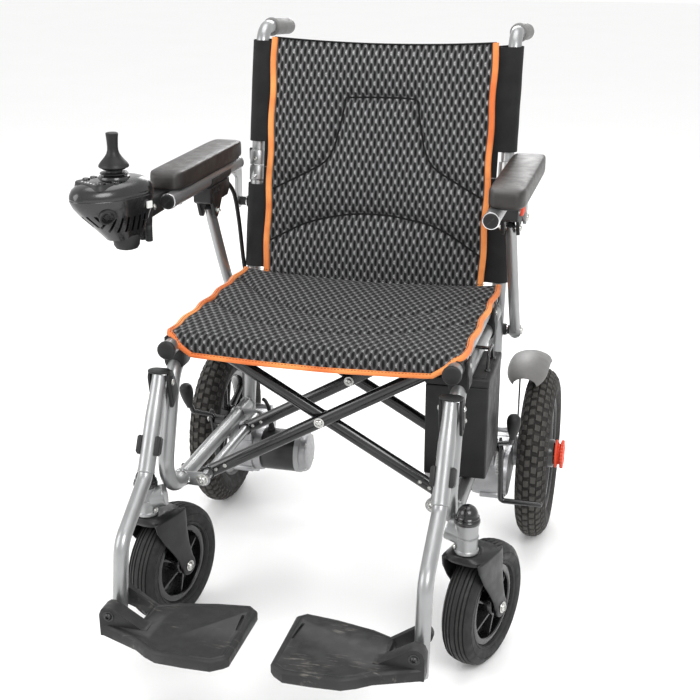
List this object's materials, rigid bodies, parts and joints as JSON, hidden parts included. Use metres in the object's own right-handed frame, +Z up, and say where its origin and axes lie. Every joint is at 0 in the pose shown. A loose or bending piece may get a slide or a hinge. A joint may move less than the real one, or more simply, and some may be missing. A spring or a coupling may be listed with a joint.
{
  "type": "power wheelchair",
  "caption": "Folding power wheelchair with a mesh sling seat and back, joystick controller, cross-braced aluminium frame and geared rear wheels.",
  "frame": {"origin": "on the floor, under the middle of the chair", "axes": "+Z up, the chair faces -Y, +X is the user's left"},
  "size_m": [0.712, 0.9938, 0.9277],
  "materials": {
    "silver_frame": "satin silver powder coat",
    "cast_silver": "satin cast",
    "grey_grip": "matt",
    "black_cap": "gloss",
    "black_fork": "satin",
    "caster_tyre": "smooth solid",
    "tyre_rubber": "matt, block tread",
    "black_rim": "satin, with a silver edge",
    "orange_red": "satin",
    "black_motor": "satin",
    "grey_fender": "matt",
    "black_metal": "satin",
    "pad_skin": "matt textured skin",
    "black_plastic": "satin",
    "black_footplate": "matt, scuffed",
    "gloss_black_metal": "gloss",
    "mesh_fabric": "spacer mesh, orange piping",
    "gloss_black": "gloss",
    "black_boot": "matt",
    "cable_black": "satin"
  },
  "bodies": {
    "right_frame": {"right_side_tube": "silver_frame", "right_rear_post": "silver_frame", "right_caster_housing": "silver_frame", "right_caster_cap": "black_cap", "right_gearbox": "cast_silver", "right_motor": "black_motor", "right_fender": "grey_fender", "back_sling_lower": "mesh_fabric", "controller_cable": "cable_black"},
    "left_frame": {"left_side_tube": "silver_frame", "left_rear_post": "silver_frame", "left_caster_housing": "silver_frame", "left_caster_cap": "black_cap", "left_gearbox": "cast_silver", "left_motor": "black_motor", "left_fender": "grey_fender", "battery_case": "black_plastic"},
    "right_brace": {"right_cross_brace": "gloss_black_metal", "left_seat_rail": "silver_frame", "seat_sling": "mesh_fabric"},
    "left_brace": {"left_cross_brace": "gloss_black_metal", "right_seat_rail": "silver_frame"},
    "right_back": {"right_upper_post": "silver_frame", "right_push_grip": "grey_grip", "back_sling_upper": "mesh_fabric"},
    "left_back": {"left_upper_post": "silver_frame", "left_push_grip": "grey_grip"},
    "stick_gimbal": {"joystick_boot": "black_boot"},
    "stick": {"joystick": "black_plastic"},
    "power_key": {"power_button": "black_plastic"},
    "left_arm": {"left_arm_pad": "pad_skin", "left_arm_rail": "silver_frame", "left_arm_bracket": "black_plastic"},
    "left_arm_latch": {"left_latch_button": "orange_red"},
    "left_arm_prop": {"left_arm_strut": "silver_frame"},
    "left_caster_swivel_part": {"left_caster_fork": "black_fork"},
    "left_caster_roller": {"left_caster_wheel": "caster_tyre"},
    "left_drive_wheel": {"left_drive_tyre": "tyre_rubber", "left_drive_rim": "black_rim"},
    "left_clutch_knob": {"left_hub_knob": "orange_red"},
    "left_brake": {"left_brake_lever": "black_metal"},
    "left_legrest": {"left_hanger": "silver_frame", "left_hanger_bracket": "black_plastic"},
    "left_foot_support": {"left_footplate": "black_footplate"},
    "right_arm": {"right_arm_pad": "pad_skin", "right_arm_rail": "silver_frame", "right_arm_bracket": "black_plastic", "controller_mount": "black_plastic", "controller_body": "gloss_black"},
    "right_arm_latch": {"right_latch_button": "orange_red"},
    "right_arm_prop": {"right_arm_strut": "silver_frame"},
    "right_caster_swivel_part": {"right_caster_fork": "black_fork"},
    "right_caster_roller": {"right_caster_wheel": "caster_tyre"},
    "right_drive_wheel": {"right_drive_tyre": "tyre_rubber", "right_drive_rim": "black_rim"},
    "right_clutch_knob": {"right_hub_knob": "orange_red"},
    "right_brake": {"right_brake_lever": "black_metal"},
    "right_legrest": {"right_hanger": "silver_frame", "right_hanger_bracket": "black_plastic"},
    "right_foot_support": {"right_footplate": "black_footplate"}
  },
  "joints": [
    {"name": "fold", "type": "slide", "parent": "right_frame", "child": "left_frame", "axis": [-1, 0, 0], "range_m": [0, 0.2], "deforming": ["back_sling_lower"]},
    {"name": "right_brace_turn", "type": "hinge", "parent": "right_frame", "child": "right_brace", "pos_m": [-0.19, 0.308, 0.245], "axis": [0, -1, 0], "range_deg": [0, 35.9]},
    {"name": "brace_cross_pivot", "type": "hinge", "parent": "right_brace", "child": "left_brace", "pos_m": [0, 0.308, 0.35383], "axis": [0, 1, 0], "range_deg": [0, 71.8], "deforming": ["seat_sling"]},
    {"name": "back_fold", "type": "hinge", "parent": "right_frame", "child": "right_back", "pos_m": [0, 0.3151, 0.679], "axis": [-1, 0, 0], "range_deg": [0, 100]},
    {"name": "left_back_slide", "type": "slide", "parent": "right_back", "child": "left_back", "axis": [-1, 0, 0], "range_m": [0, 0.2], "deforming": ["back_sling_upper"]},
    {"name": "left_arm_flip", "type": "hinge", "parent": "left_frame", "child": "left_arm", "pos_m": [0.255, 0.293, 0.609], "axis": [-1, 0, 0], "range_deg": [0, 95]},
    {"name": "left_latch_press", "type": "slide", "parent": "left_arm", "child": "left_arm_latch", "axis": [-1, 0, 0], "range_m": [0, 0.003], "stiffness_N_per_m": 300, "springref_m": -0.001},
    {"name": "left_arm_strut_swing", "type": "hinge", "parent": "left_frame", "child": "left_arm_prop", "pos_m": [0.261, 0.252, 0.413], "axis": [1, 0, 0], "range_deg": [0, 38]},
    {"name": "left_caster_swivel", "type": "hinge", "parent": "left_frame", "child": "left_caster_swivel_part", "pos_m": [0.2565, -0.212, 0.2138], "axis": [0, 0, 1], "continuous": true},
    {"name": "left_caster_roll", "type": "hinge", "parent": "left_caster_swivel_part", "child": "left_caster_roller", "pos_m": [0.27566, -0.15514, 0.0995], "axis": [0.9477, -0.3193, 0], "continuous": true},
    {"name": "left_drive_roll", "type": "hinge", "parent": "left_frame", "child": "left_drive_wheel", "pos_m": [0.309, 0.308, 0.1575], "axis": [1, 0, 0], "continuous": true},
    {"name": "left_clutch_turn", "type": "hinge", "parent": "left_drive_wheel", "child": "left_clutch_knob", "pos_m": [0.3393, 0.308, 0.1575], "axis": [1, 0, 0], "range_deg": [0, 90]},
    {"name": "left_brake_throw", "type": "hinge", "parent": "left_frame", "child": "left_brake", "pos_m": [0.262, 0.113, 0.245], "axis": [1, 0, 0], "range_deg": [-20, 8]},
    {"name": "left_legrest_swing", "type": "hinge", "parent": "left_frame", "child": "left_legrest", "pos_m": [0.226, -0.147, 0.45], "axis": [0, 0.3231, 0.9463], "range_deg": [0, 90]},
    {"name": "left_footplate_flip", "type": "hinge", "parent": "left_legrest", "child": "left_foot_support", "pos_m": [0.224, -0.4, 0.163], "axis": [0, 1, 0], "range_deg": [0, 90]},
    {"name": "right_arm_flip", "type": "hinge", "parent": "right_frame", "child": "right_arm", "pos_m": [-0.255, 0.293, 0.609], "axis": [-1, 0, 0], "range_deg": [0, 95], "deforming": ["controller_cable"]},
    {"name": "right_latch_press", "type": "slide", "parent": "right_arm", "child": "right_arm_latch", "axis": [1, 0, 0], "range_m": [0, 0.003], "stiffness_N_per_m": 300, "springref_m": -0.001},
    {"name": "right_arm_strut_swing", "type": "hinge", "parent": "right_frame", "child": "right_arm_prop", "pos_m": [-0.261, 0.252, 0.413], "axis": [1, 0, 0], "range_deg": [0, 38]},
    {"name": "right_caster_swivel", "type": "hinge", "parent": "right_frame", "child": "right_caster_swivel_part", "pos_m": [-0.2565, -0.212, 0.2138], "axis": [0, 0, 1], "continuous": true},
    {"name": "right_caster_roll", "type": "hinge", "parent": "right_caster_swivel_part", "child": "right_caster_roller", "pos_m": [-0.24154, -0.1539, 0.0995], "axis": [0.9684, -0.2493, 0], "continuous": true},
    {"name": "right_drive_roll", "type": "hinge", "parent": "right_frame", "child": "right_drive_wheel", "pos_m": [-0.309, 0.308, 0.1575], "axis": [1, 0, 0], "continuous": true},
    {"name": "right_clutch_turn", "type": "hinge", "parent": "right_drive_wheel", "child": "right_clutch_knob", "pos_m": [-0.3393, 0.308, 0.1575], "axis": [-1, 0, 0], "range_deg": [0, 90]},
    {"name": "right_brake_throw", "type": "hinge", "parent": "right_frame", "child": "right_brake", "pos_m": [-0.262, 0.113, 0.245], "axis": [1, 0, 0], "range_deg": [-20, 8]},
    {"name": "right_legrest_swing", "type": "hinge", "parent": "right_frame", "child": "right_legrest", "pos_m": [-0.226, -0.147, 0.45], "axis": [0, -0.3231, -0.9463], "range_deg": [0, 90]},
    {"name": "right_footplate_flip", "type": "hinge", "parent": "right_legrest", "child": "right_foot_support", "pos_m": [-0.224, -0.4, 0.163], "axis": [0, -1, 0], "range_deg": [0, 90]},
    {"name": "stick_tilt_side", "type": "hinge", "parent": "right_arm", "child": "stick_gimbal", "pos_m": [-0.2885, -0.187, 0.745], "axis": [0, 1, 0], "range_deg": [-18, 18], "stiffness_Nm_per_rad": 0.3},
    {"name": "stick_tilt_fore", "type": "hinge", "parent": "stick_gimbal", "child": "stick", "pos_m": [-0.2885, -0.187, 0.745], "axis": [1, 0, 0], "range_deg": [-18, 18], "stiffness_Nm_per_rad": 0.3},
    {"name": "power_press", "type": "slide", "parent": "right_arm", "child": "power_key", "axis": [0, 0, -1], "range_m": [0, 0.0015], "stiffness_N_per_m": 300, "springref_m": -0.001}
  ],
  "couplings": [
    {"joint": "right_brace_turn", "follows": "fold", "rad_per_m": 3.1328},
    {"joint": "brace_cross_pivot", "follows": "fold", "rad_per_m": 6.2655},
    {"joint": "left_back_slide", "follows": "fold", "ratio": 1},
    {"joint": "left_footplate_flip", "follows": "fold", "rad_per_m": 7.8539},
    {"joint": "right_footplate_flip", "follows": "fold", "rad_per_m": 7.8539}
  ]
}
